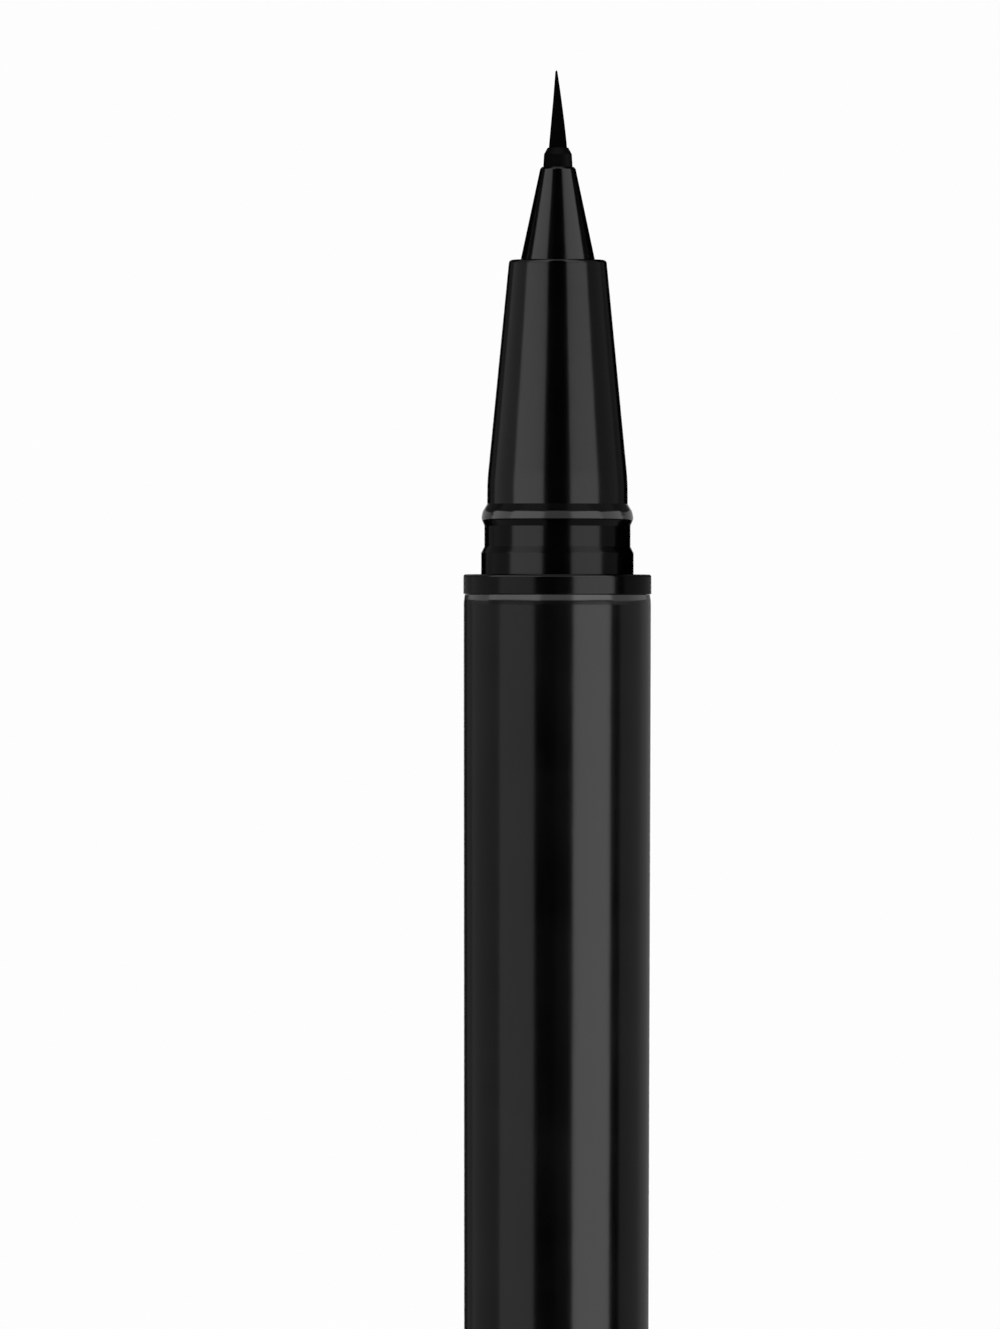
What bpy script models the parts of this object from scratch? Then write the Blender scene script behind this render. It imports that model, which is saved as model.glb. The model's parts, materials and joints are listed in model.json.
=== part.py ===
"""Liquid eyeliner pen with a brush tip, cap off, standing on its tail.

Metres, +Z along the pen from the tail to the brush. The origin is the centre of the tail's resting face.
"""

import math
import random

import bmesh
import bpy
from mathutils import Vector

MM = 0.001

# Fits: the radial play of a part in its bore, the play of the fine parts in the tip, and the gap between
# two faces that meet
SLIP_FIT = 0.06 * MM
TIP_FIT = 0.04 * MM
SEAT_GAP = 0.06 * MM

# Barrel: a long tube that narrows a little towards the tail, with a slight slope round its mouth
BARREL_LENGTH = 95.20 * MM
BARREL_MOUTH_RADIUS = 5.50 * MM
BARREL_WALL = 0.90 * MM
BARREL_DRAFT = math.radians(0.112)
BARREL_EDGE_ROUND = 0.12 * MM
BARREL_RIM_HEIGHT = 0.42 * MM
BARREL_RIM_DEPTH = 0.07 * MM
BARREL_RIM_ROUND = 0.06 * MM

# Tail plug: flange, spigot in the barrel, and a shallow recess in its foot
TAIL_FLANGE_HEIGHT = 1.60 * MM
TAIL_SPIGOT_LENGTH = 7.00 * MM
TAIL_FOOT_ROUND = 0.60 * MM
TAIL_EDGE_ROUND = 0.12 * MM
TAIL_RECESS_RADIUS = 2.20 * MM
TAIL_RECESS_DEPTH = 0.50 * MM

# Front section, from its flange upwards: flange, collar under the cap, neck, cap bead, tapered grip
FLANGE_PROUD = 0.02 * MM
FLANGE_HEIGHT = 1.11 * MM
FLANGE_FOOT_ROUND = 0.12 * MM
FLANGE_TOP_ROUND = 0.15 * MM
CAP_SEAT_WIDTH = 1.04 * MM
COLLAR_HEIGHT = 1.11 * MM
COLLAR_CROWN_SECTION = 0.69 * MM
NECK_STEP = 0.19 * MM
NECK_HEIGHT = 1.25 * MM
BEAD_PROUD = 0.14 * MM
BEAD_FOOT_RISE = 0.37 * MM
BEAD_LAND = 0.18 * MM
BEAD_CROWN_RISE = 0.32 * MM
BEAD_CROWN_FALL = 0.065 * MM
BEAD_TOP_RISE = 0.43 * MM
BEAD_ROUND = 0.60 * MM
GRIP_STEP = 0.16 * MM
GRIP_HEIGHT = 14.31 * MM
GRIP_LAND = 1.35 * MM
GRIP_BLEND = 26.0 * MM
MOUTH_RIM = 0.66 * MM
MOUTH_EDGE_ROUND = 0.18 * MM
MOUTH_DEPTH = 3.00 * MM
SPIGOT_LENGTH = 9.00 * MM
SPIGOT_WALL = 0.61 * MM
SHOULDER_RISE = 0.45 * MM
SHOULDER_WIDTH = 0.60 * MM
GRIP_BORE_TAPER = 11.0 * MM

# Nozzle cone: the cone that shows, a flange behind the mouth, and a bore that steps wider behind the lip
NOZZLE_HEIGHT = 5.44 * MM
NOZZLE_HALF_ANGLE = math.radians(12.05)
NOZZLE_LIP_WALL = 0.12 * MM
NOZZLE_LIP_ROUND = 0.08 * MM
NOZZLE_FLANGE_WIDTH = 0.30 * MM
NOZZLE_FLANGE_HEIGHT = 1.14 * MM
NOZZLE_SHOULDER_RISE = 0.56 * MM

# Holder of the brush: the collar that shows with its sloped crown, a shank in the nozzle and a wider sleeve
# behind it
HOLDER_WALL = 0.28 * MM
HOLDER_PROUD = 1.12 * MM
HOLDER_TAPER = 0.045 * MM
HOLDER_CROWN_HEIGHT = 0.34 * MM
HOLDER_CROWN_EDGE = 0.05 * MM
HOLDER_CROWN_ROUND = 0.15 * MM
HOLDER_SLEEVE_WALL = 0.71 * MM

# Brush
TUFT_RADIUS = 0.54 * MM
TUFT_LENGTH = 4.57 * MM
TUFT_HEEL_DEPTH = 5.00 * MM
TUFT_SETBACK = 0.30 * MM
STRAND_GAP = 0.014 * MM
STRAND_BEND_SHARE = 0.50
STRAND_STAGGER_SHARE = 0.22
TUFT_FULLNESS = 1.3
TUFT_POINT_SHARE = 0.08
TUFT_SECTORS = 5
STRAND_ROWS = 8
STRAND_SEED = 11

# Feed core: the fibre rod from the tank to the brush's heel
FEED_RADIUS = 0.50 * MM
FEED_REACH = 2.00 * MM

# Collector: rear disc, comb of fins on a core, flange over the tank's mouth, and a long nose
COLLECTOR_LENGTH = 19.52 * MM
COLLECTOR_CORE_WALL = 1.04 * MM
COLLECTOR_DISC_HEIGHT = 0.85 * MM
COLLECTOR_FLANGE_HEIGHT = 0.80 * MM
COLLECTOR_NOSE_WALL = 1.40 * MM
FIN_COUNT = 18
FIN_THICKNESS = 0.40 * MM
FIN_PLAY = 0.12 * MM
SLIT_WIDTH = 0.50 * MM
SLIT_FLOOR = 0.12 * MM

# Ink tank: a tube with a wider chamber at the front
TANK_WALL = 0.90 * MM
TANK_CHAMBER_WALL = 0.62 * MM

# Tank plug: rim under the tank's end, stopper with two sealing ribs and a dished top
PLUG_RIM_HEIGHT = 0.80 * MM
PLUG_LENGTH = 6.00 * MM
PLUG_RIB_PROUD = 0.14 * MM
PLUG_RIB_HEIGHT = 0.70 * MM
PLUG_RIB_COUNT = 2
PLUG_DISH_WALL = 0.45 * MM
PLUG_DISH_DEPTH = 0.60 * MM

# Mixing ball
BALL_RADIUS = 1.50 * MM

# Facets round each kind of turned piece, and steps along each rounded corner
SHELL_SIDES = 32
INNER_SIDES = 24
FEED_SIDES = 16
CORNER_STEPS = 2
CROWN_STEPS = 4
BLEND_STEPS = 5
BALL_RINGS = 10

SHARP_ANGLE = math.radians(30)
WELD = 0.0001 * MM
CUT_OVERRUN = 1.0 * MM

# Looks: colour in linear light, roughness, metallic
SHELL_LOOK = ((0.006, 0.006, 0.007), 0.16, 0.0)
GRIP_LOOK = ((0.005, 0.005, 0.006), 0.14, 0.0)
NOZZLE_LOOK = ((0.005, 0.005, 0.006), 0.15, 0.0)
HOLDER_LOOK = ((0.008, 0.008, 0.008), 0.55, 0.0)
BRISTLE_LOOK = ((0.004, 0.004, 0.004), 0.60, 0.0)
FIBRE_LOOK = ((0.030, 0.028, 0.026), 0.95, 0.0)
COLLECTOR_LOOK = ((0.60, 0.59, 0.55), 0.45, 0.0)
TANK_LOOK = ((0.55, 0.55, 0.52), 0.35, 0.0)
PLUG_LOOK = ((0.20, 0.20, 0.20), 0.50, 0.0)
STEEL_LOOK = ((0.55, 0.55, 0.56), 0.20, 1.0)

# Radii that follow from the fits, outermost first
BARREL_BORE = BARREL_MOUTH_RADIUS - BARREL_WALL
FLANGE_RADIUS = BARREL_MOUTH_RADIUS + FLANGE_PROUD
SPIGOT_RADIUS = BARREL_BORE - SLIP_FIT
SPIGOT_BORE = SPIGOT_RADIUS - SPIGOT_WALL
TANK_RADIUS = SPIGOT_BORE - SLIP_FIT
TANK_BORE = TANK_RADIUS - TANK_WALL
CHAMBER_BORE = TANK_RADIUS - TANK_CHAMBER_WALL
COLLAR_RADIUS = FLANGE_RADIUS - CAP_SEAT_WIDTH
NECK_RADIUS = COLLAR_RADIUS - NECK_STEP
BEAD_RADIUS = NECK_RADIUS + BEAD_PROUD
BEAD_CROWN_RADIUS = BEAD_RADIUS - BEAD_CROWN_FALL
GRIP_RADIUS = NECK_RADIUS - GRIP_STEP
SHOULDER_BORE = SPIGOT_BORE - SHOULDER_WIDTH
HOLDER_BORE = TUFT_RADIUS + TIP_FIT
HOLDER_RADIUS = HOLDER_BORE + HOLDER_WALL
HOLDER_CROWN_RADIUS = HOLDER_RADIUS - HOLDER_TAPER
HOLDER_TOP_RADIUS = HOLDER_BORE + HOLDER_CROWN_EDGE
HOLDER_SLEEVE_RADIUS = HOLDER_BORE + HOLDER_SLEEVE_WALL
NOZZLE_LIP_BORE = HOLDER_RADIUS + TIP_FIT
NOZZLE_LIP_RADIUS = NOZZLE_LIP_BORE + NOZZLE_LIP_WALL
NOZZLE_BORE = HOLDER_SLEEVE_RADIUS + SLIP_FIT
NOZZLE_RADIUS = NOZZLE_LIP_RADIUS + NOZZLE_HEIGHT * math.tan(NOZZLE_HALF_ANGLE)
NOZZLE_FLANGE_RADIUS = NOZZLE_RADIUS + NOZZLE_FLANGE_WIDTH
MOUTH_BORE = NOZZLE_RADIUS + SLIP_FIT
MOUTH_RADIUS = MOUTH_BORE + MOUTH_RIM
GRIP_BORE = NOZZLE_FLANGE_RADIUS + SLIP_FIT
COLLECTOR_BORE = FEED_RADIUS + SLIP_FIT
COLLECTOR_CORE_RADIUS = COLLECTOR_BORE + COLLECTOR_CORE_WALL
COLLECTOR_NOSE_RADIUS = COLLECTOR_BORE + COLLECTOR_NOSE_WALL
COLLECTOR_DISC_RADIUS = CHAMBER_BORE - SLIP_FIT
FIN_RADIUS = COLLECTOR_DISC_RADIUS - FIN_PLAY
PLUG_RIB_RADIUS = TANK_BORE - SLIP_FIT
PLUG_RADIUS = PLUG_RIB_RADIUS - PLUG_RIB_PROUD
PLUG_DISH_RADIUS = PLUG_RADIUS - PLUG_DISH_WALL

# Heights of the shells above the resting face
BARREL_FOOT = TAIL_FLANGE_HEIGHT + SEAT_GAP
BARREL_MOUTH = BARREL_FOOT + BARREL_LENGTH
FLANGE_FOOT = BARREL_MOUTH + SEAT_GAP
CAP_SEAT = FLANGE_FOOT + FLANGE_HEIGHT
COLLAR_TOP = CAP_SEAT + COLLAR_HEIGHT
COLLAR_CROWN_TOP = COLLAR_TOP + math.sqrt(NECK_STEP * (2 * COLLAR_CROWN_SECTION - NECK_STEP))
NECK_TOP = COLLAR_CROWN_TOP + NECK_HEIGHT
BEAD_FOOT = NECK_TOP + BEAD_FOOT_RISE
BEAD_LAND_TOP = BEAD_FOOT + BEAD_LAND
BEAD_CROWN_TOP = BEAD_LAND_TOP + BEAD_CROWN_RISE
GRIP_FOOT = BEAD_CROWN_TOP + BEAD_TOP_RISE
MOUTH_TOP = GRIP_FOOT + GRIP_HEIGHT
NOZZLE_TOP = MOUTH_TOP + NOZZLE_HEIGHT
HOLDER_TOP = NOZZLE_TOP + HOLDER_PROUD
HOLDER_CROWN_FOOT = HOLDER_TOP - HOLDER_CROWN_HEIGHT
TUFT_TIP = HOLDER_TOP + TUFT_LENGTH
TUFT_ROOT = HOLDER_TOP - TUFT_SETBACK
TUFT_FOOT = HOLDER_TOP - TUFT_HEEL_DEPTH

# Heights of the seats inside
MOUTH_SEAT = MOUTH_TOP - MOUTH_DEPTH
NOZZLE_SEAT = MOUTH_SEAT - SEAT_GAP
NOZZLE_FOOT = NOZZLE_SEAT - NOZZLE_FLANGE_HEIGHT
NOZZLE_SHOULDER = MOUTH_TOP + NOZZLE_SHOULDER_RISE
NOSE_TOP = NOZZLE_FOOT - SEAT_GAP
SHOULDER = CAP_SEAT + SHOULDER_RISE
COLLECTOR_FLANGE_TOP = SHOULDER - SEAT_GAP
COLLECTOR_FLANGE_FOOT = COLLECTOR_FLANGE_TOP - COLLECTOR_FLANGE_HEIGHT
TANK_MOUTH = COLLECTOR_FLANGE_FOOT - SEAT_GAP
COLLECTOR_FOOT = COLLECTOR_FLANGE_FOOT - COLLECTOR_LENGTH
TANK_STEP = COLLECTOR_FOOT - SEAT_GAP
FEED_FOOT = COLLECTOR_FOOT - FEED_REACH
FEED_TOP = TUFT_FOOT - SEAT_GAP
PLUG_FOOT = TAIL_FLANGE_HEIGHT + SEAT_GAP
PLUG_RIM_TOP = PLUG_FOOT + PLUG_RIM_HEIGHT
TANK_FOOT = PLUG_RIM_TOP + SEAT_GAP
PLUG_TOP = PLUG_RIM_TOP + PLUG_LENGTH
PLUG_DISH_FLOOR = PLUG_TOP - PLUG_DISH_DEPTH
PLUG_DISH_SLOPE = math.atan2(PLUG_DISH_DEPTH, PLUG_DISH_RADIUS)
BALL_HEIGHT = PLUG_DISH_FLOOR + (BALL_RADIUS + SEAT_GAP) / math.cos(PLUG_DISH_SLOPE)
BALL_TRAVEL = FEED_FOOT - SEAT_GAP - BALL_RADIUS - BALL_HEIGHT


def material(name, look):
    """A plain Principled material of this colour, roughness and metallic value."""
    colour, roughness, metallic = look
    made = bpy.data.materials.new(name)
    made.use_nodes = True
    shader = made.node_tree.nodes["Principled BSDF"]
    shader.inputs["Base Color"].default_value = (*colour, 1.0)
    shader.inputs["Roughness"].default_value = roughness
    shader.inputs["Metallic"].default_value = metallic
    made.diffuse_color = (*colour, 1.0)
    return made


def rounded(corners, steps=CORNER_STEPS):
    """Points (radius, height) along an outline of (radius, height, fillet) corners, each fillet as an arc.

    A fillet never takes more than half of either side that it joins.
    """
    points = []
    for index, (radius, height, fillet) in enumerate(corners):
        corner = Vector((radius, height))
        if not fillet:
            points.append(corner)
            continue
        back = Vector(corners[index - 1][:2]) - corner
        ahead = Vector(corners[(index + 1) % len(corners)][:2]) - corner
        half = back.angle(ahead) / 2
        reach = min(fillet / math.tan(half), back.length / 2, ahead.length / 2)
        fillet = reach * math.tan(half)
        centre = corner + (back.normalized() + ahead.normalized()).normalized() * fillet / math.sin(half)
        start = corner + back.normalized() * reach - centre
        end = corner + ahead.normalized() * reach - centre
        points += [centre + start.slerp(end, step / steps) * fillet for step in range(steps + 1)]
    return points


def shoulder(radius, height, section, above):
    """Points over a rounded shoulder, from a radius at this height in to the radius above it."""
    turn = math.acos(1 - (radius - above) / section)
    return [
        Vector((radius - section * (1 - math.cos(angle)), height + section * math.sin(angle)))
        for angle in (turn * step / CROWN_STEPS for step in range(CROWN_STEPS + 1))
    ]


def finish(name, mesh, foot, look):
    """The mesh as an object on the pen's axis, with its own zero height at the foot."""
    mesh.materials.append(look)
    mesh.shade_smooth()
    mesh.set_sharp_from_angle(angle=SHARP_ANGLE)
    made = bpy.data.objects.new(name, mesh)
    made.location = (0, 0, foot)
    bpy.context.scene.collection.objects.link(made)
    return made


def turned(name, outline, sides, foot, look):
    """An outline of (radius, height) points spun round the axis: a tube, or a solid that ends on it."""
    bm = bmesh.new()
    verts = [bm.verts.new((radius, 0, height - foot)) for radius, height in outline]
    solid = outline[0][0] == 0 and outline[-1][0] == 0
    ends = zip(verts, verts[1:] if solid else verts[1:] + verts[:1])
    edges = [bm.edges.new(pair) for pair in ends]
    bmesh.ops.spin(
        bm,
        geom=verts + edges,
        cent=(0, 0, 0),
        axis=(0, 0, 1),
        angle=math.tau,
        steps=sides,
        use_merge=True,
    )
    bmesh.ops.remove_doubles(bm, verts=bm.verts, dist=WELD)
    bmesh.ops.recalc_face_normals(bm, faces=bm.faces)
    mesh = bpy.data.meshes.new(name)
    bm.to_mesh(mesh)
    bm.free()
    return finish(name, mesh, foot, look)


def barrel(look):
    foot_radius = BARREL_MOUTH_RADIUS - BARREL_LENGTH * math.tan(BARREL_DRAFT)
    outline = rounded([
        (BARREL_BORE, BARREL_FOOT, 0),
        (foot_radius, BARREL_FOOT, BARREL_EDGE_ROUND),
        (BARREL_MOUTH_RADIUS, BARREL_MOUTH - BARREL_RIM_HEIGHT, 0),
        (BARREL_MOUTH_RADIUS - BARREL_RIM_DEPTH, BARREL_MOUTH, BARREL_RIM_ROUND),
        (BARREL_BORE, BARREL_MOUTH, 0),
    ])
    return turned("barrel", outline, SHELL_SIDES, BARREL_FOOT, look)


def tail_plug(look):
    """A cup: its flange closes the barrel's end and its spigot holds the tank in line."""
    radius = BARREL_MOUTH_RADIUS - BARREL_LENGTH * math.tan(BARREL_DRAFT)
    spigot_top = TAIL_FLANGE_HEIGHT + TAIL_SPIGOT_LENGTH
    outline = rounded([
        (0, TAIL_RECESS_DEPTH, 0),
        (TAIL_RECESS_RADIUS, TAIL_RECESS_DEPTH, 0),
        (TAIL_RECESS_RADIUS, 0, 0),
        (radius, 0, TAIL_FOOT_ROUND),
        (radius, TAIL_FLANGE_HEIGHT, TAIL_EDGE_ROUND),
        (SPIGOT_RADIUS, TAIL_FLANGE_HEIGHT, 0),
        (SPIGOT_RADIUS, spigot_top, TAIL_EDGE_ROUND),
        (SPIGOT_BORE, spigot_top, TAIL_EDGE_ROUND),
        (SPIGOT_BORE, TAIL_FLANGE_HEIGHT, 0),
        (0, TAIL_FLANGE_HEIGHT, 0),
    ])
    return turned("tail_plug", outline, SHELL_SIDES, 0, look)


def front_section(look):
    """One moulding: spigot, flange, cap collar, neck, cap bead and the long tapered grip with its mouth."""
    grip_blend = rounded([
        (GRIP_RADIUS, GRIP_FOOT, 0),
        (GRIP_RADIUS, GRIP_FOOT + GRIP_LAND, GRIP_BLEND),
        (MOUTH_RADIUS, MOUTH_TOP, 0),
    ], BLEND_STEPS)[1:-1]
    outline = (
        rounded([
            (SPIGOT_BORE, FLANGE_FOOT - SPIGOT_LENGTH, 0),
            (SPIGOT_RADIUS, FLANGE_FOOT - SPIGOT_LENGTH, FLANGE_FOOT_ROUND),
            (SPIGOT_RADIUS, FLANGE_FOOT, 0),
            (FLANGE_RADIUS, FLANGE_FOOT, FLANGE_FOOT_ROUND),
            (FLANGE_RADIUS, CAP_SEAT, FLANGE_TOP_ROUND),
            (COLLAR_RADIUS, CAP_SEAT, 0),
        ])
        + shoulder(COLLAR_RADIUS, COLLAR_TOP, COLLAR_CROWN_SECTION, NECK_RADIUS)
        + rounded([
            (NECK_RADIUS, NECK_TOP, 0),
            (BEAD_RADIUS, BEAD_FOOT, BEAD_ROUND),
            (BEAD_RADIUS, BEAD_LAND_TOP, BEAD_ROUND),
            (BEAD_CROWN_RADIUS, BEAD_CROWN_TOP, BEAD_ROUND),
            (GRIP_RADIUS, GRIP_FOOT, 0),
        ])
        + grip_blend
        + rounded([
            (MOUTH_RADIUS, MOUTH_TOP, MOUTH_EDGE_ROUND),
            (MOUTH_BORE, MOUTH_TOP, 0),
            (MOUTH_BORE, MOUTH_SEAT, 0),
            (GRIP_BORE, MOUTH_SEAT, 0),
            (GRIP_BORE, SHOULDER + GRIP_BORE_TAPER, 0),
            (SHOULDER_BORE, SHOULDER, 0),
            (SPIGOT_BORE, SHOULDER, 0),
        ])
    )
    return turned("front_section", outline, SHELL_SIDES, FLANGE_FOOT, look)


def nozzle_cone(look):
    outline = rounded([
        (NOZZLE_BORE, NOZZLE_FOOT, 0),
        (NOZZLE_FLANGE_RADIUS, NOZZLE_FOOT, 0),
        (NOZZLE_FLANGE_RADIUS, NOZZLE_SEAT, 0),
        (NOZZLE_RADIUS, NOZZLE_SEAT, 0),
        (NOZZLE_RADIUS, MOUTH_TOP, 0),
        (NOZZLE_LIP_RADIUS, NOZZLE_TOP, NOZZLE_LIP_ROUND),
        (NOZZLE_LIP_BORE, NOZZLE_TOP, 0),
        (NOZZLE_LIP_BORE, NOZZLE_SHOULDER, 0),
        (NOZZLE_BORE, NOZZLE_SHOULDER, 0),
    ])
    return turned("nozzle_cone", outline, SHELL_SIDES, NOZZLE_FOOT, look)


def tuft_holder(look):
    sleeve_top = NOZZLE_SHOULDER - SEAT_GAP
    outline = rounded([
        (HOLDER_BORE, NOZZLE_FOOT, 0),
        (HOLDER_SLEEVE_RADIUS, NOZZLE_FOOT, 0),
        (HOLDER_SLEEVE_RADIUS, sleeve_top, 0),
        (HOLDER_RADIUS, sleeve_top, 0),
        (HOLDER_RADIUS, NOZZLE_TOP, 0),
        (HOLDER_CROWN_RADIUS, HOLDER_CROWN_FOOT, HOLDER_CROWN_ROUND),
        (HOLDER_TOP_RADIUS, HOLDER_TOP, 0),
        (HOLDER_BORE, HOLDER_TOP, 0),
    ])
    return turned("tuft_holder", outline, INNER_SIDES, NOZZLE_FOOT, look)


def tuft_share(height):
    """How wide the brush is at this height, as a share of its width where the strands begin."""
    rise = (height - TUFT_ROOT) / (TUFT_TIP - TUFT_ROOT)
    return TUFT_POINT_SHARE + (1 - TUFT_POINT_SHARE) * (1 - rise**TUFT_FULLNESS)


def drawn_in(vert, height):
    """Moves a vertex of a strand up from the strands' root to a height, drawn in with the whole brush."""
    share = tuft_share(height)
    vert.co = (vert.co.x * share, vert.co.y * share, height - TUFT_FOOT)


def bristle_tuft(look):
    """Tapered three-sided strands that stand on the heel they are bonded into and close to a point."""
    bm = bmesh.new()
    bmesh.ops.create_circle(bm, cap_ends=True, cap_tris=True, radius=TUFT_RADIUS, segments=TUFT_SECTORS)
    bmesh.ops.subdivide_edges(bm, edges=bm.edges, cuts=STRAND_ROWS - 1, use_grid_fill=True)
    half_sector = math.pi / TUFT_SECTORS
    for vert in bm.verts:
        turn = math.atan2(-vert.co.x, vert.co.y) % (2 * half_sector) - half_sector
        vert.co *= math.cos(turn) / math.cos(half_sector)
        vert.co.z = TUFT_ROOT - TUFT_FOOT
    strands = list(bm.faces)
    rim = [edge for edge in bm.edges if edge.is_boundary]
    heel = bmesh.ops.extrude_edge_only(bm, edges=rim)["geom"]
    for vert in heel:
        if isinstance(vert, bmesh.types.BMVert):
            vert.co.z = 0
    bmesh.ops.holes_fill(bm, edges=[edge for edge in bm.edges if edge.is_boundary])
    bmesh.ops.inset_individual(bm, faces=strands, thickness=STRAND_GAP / 2, use_even_offset=True)
    waists = bmesh.ops.extrude_discrete_faces(bm, faces=strands)["faces"]
    waist_height = TUFT_ROOT + (TUFT_TIP - TUFT_ROOT) * STRAND_BEND_SHARE
    centres = []
    for face in waists:
        centres.append(face.calc_center_median())
        for vert in face.verts:
            drawn_in(vert, waist_height)
    points = bmesh.ops.poke(bm, faces=waists)["verts"]
    lengths = random.Random(STRAND_SEED)
    for vert, centre in zip(points, centres):
        vert.co = centre
        short = STRAND_STAGGER_SHARE * lengths.random()
        drawn_in(vert, TUFT_TIP - (TUFT_TIP - TUFT_ROOT) * short)
    bmesh.ops.recalc_face_normals(bm, faces=bm.faces)
    mesh = bpy.data.meshes.new("bristle_tuft")
    bm.to_mesh(mesh)
    bm.free()
    return finish("bristle_tuft", mesh, TUFT_FOOT, look)


def feed_core(look):
    outline = rounded([
        (0, FEED_FOOT, 0),
        (FEED_RADIUS, FEED_FOOT, 0),
        (FEED_RADIUS, FEED_TOP, 0),
        (0, FEED_TOP, 0),
    ])
    return turned("feed_core", outline, FEED_SIDES, FEED_FOOT, look)


def collector(look):
    """A comb of fins between a rear disc and a flange, slit lengthwise for ink and air, with a long nose."""
    comb_foot = COLLECTOR_FOOT + COLLECTOR_DISC_HEIGHT
    pitch = (COLLECTOR_FLANGE_FOOT - comb_foot) / (FIN_COUNT + 1)
    corners = [
        (COLLECTOR_BORE, COLLECTOR_FOOT, 0),
        (COLLECTOR_DISC_RADIUS, COLLECTOR_FOOT, 0),
        (COLLECTOR_DISC_RADIUS, comb_foot, 0),
        (COLLECTOR_CORE_RADIUS, comb_foot, 0),
    ]
    for fin in range(FIN_COUNT):
        middle = comb_foot + pitch * (fin + 1)
        low = middle - FIN_THICKNESS / 2
        high = middle + FIN_THICKNESS / 2
        corners += [
            (COLLECTOR_CORE_RADIUS, low, 0),
            (FIN_RADIUS, low, 0),
            (FIN_RADIUS, high, 0),
            (COLLECTOR_CORE_RADIUS, high, 0),
        ]
    corners += [
        (COLLECTOR_CORE_RADIUS, COLLECTOR_FLANGE_FOOT, 0),
        (TANK_RADIUS, COLLECTOR_FLANGE_FOOT, 0),
        (TANK_RADIUS, COLLECTOR_FLANGE_TOP, 0),
        (COLLECTOR_NOSE_RADIUS, COLLECTOR_FLANGE_TOP, 0),
        (COLLECTOR_NOSE_RADIUS, NOSE_TOP, 0),
        (COLLECTOR_BORE, NOSE_TOP, 0),
    ]
    made = turned("collector", rounded(corners), INNER_SIDES, COLLECTOR_FOOT, look)

    slit_foot = COLLECTOR_CORE_RADIUS + SLIT_FLOOR
    slit_depth = COLLECTOR_DISC_RADIUS + CUT_OVERRUN - slit_foot
    slit_length = COLLECTOR_FLANGE_FOOT - pitch / 2 - COLLECTOR_FOOT + CUT_OVERRUN
    bm = bmesh.new()
    bmesh.ops.create_cube(bm, size=1)
    bmesh.ops.scale(bm, verts=bm.verts, vec=(slit_depth, SLIT_WIDTH, slit_length))
    cutter_mesh = bpy.data.meshes.new("collector_slit")
    bm.to_mesh(cutter_mesh)
    bm.free()
    cutter = bpy.data.objects.new("collector_slit", cutter_mesh)
    cutter.parent = made
    cutter.location = (slit_foot + slit_depth / 2, 0, slit_length / 2 - CUT_OVERRUN)
    cutter.hide_render = True
    cutter.display_type = "WIRE"
    bpy.context.scene.collection.objects.link(cutter)
    slit = made.modifiers.new("slit", "BOOLEAN")
    slit.operation = "DIFFERENCE"
    slit.object = cutter
    return made


def ink_tank(look):
    outline = rounded([
        (TANK_BORE, TANK_FOOT, 0),
        (TANK_RADIUS, TANK_FOOT, 0),
        (TANK_RADIUS, TANK_MOUTH, 0),
        (CHAMBER_BORE, TANK_MOUTH, 0),
        (CHAMBER_BORE, TANK_STEP, 0),
        (TANK_BORE, TANK_STEP, 0),
    ])
    return turned("ink_tank", outline, SHELL_SIDES, TANK_FOOT, look)


def tank_plug(look):
    """A rim under the tank's end and a ribbed stopper in its bore, dished to keep the ball on the axis."""
    rib_pitch = PLUG_LENGTH / (PLUG_RIB_COUNT + 1)
    corners = [
        (0, PLUG_FOOT, 0),
        (TANK_RADIUS, PLUG_FOOT, 0),
        (TANK_RADIUS, PLUG_RIM_TOP, 0),
        (PLUG_RADIUS, PLUG_RIM_TOP, 0),
    ]
    for rib in range(PLUG_RIB_COUNT):
        middle = PLUG_RIM_TOP + rib_pitch * (rib + 1)
        corners += [
            (PLUG_RADIUS, middle - PLUG_RIB_HEIGHT / 2, 0),
            (PLUG_RIB_RADIUS, middle, 0),
            (PLUG_RADIUS, middle + PLUG_RIB_HEIGHT / 2, 0),
        ]
    corners += [
        (PLUG_RADIUS, PLUG_TOP, 0),
        (PLUG_DISH_RADIUS, PLUG_TOP, 0),
        (0, PLUG_DISH_FLOOR, 0),
    ]
    return turned("tank_plug", rounded(corners), INNER_SIDES, PLUG_FOOT, look)


def mixing_ball(look):
    bm = bmesh.new()
    bmesh.ops.create_uvsphere(bm, u_segments=FEED_SIDES, v_segments=BALL_RINGS, radius=BALL_RADIUS)
    mesh = bpy.data.meshes.new("mixing_ball")
    bm.to_mesh(mesh)
    bm.free()
    return finish("mixing_ball", mesh, BALL_HEIGHT, look)


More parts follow.
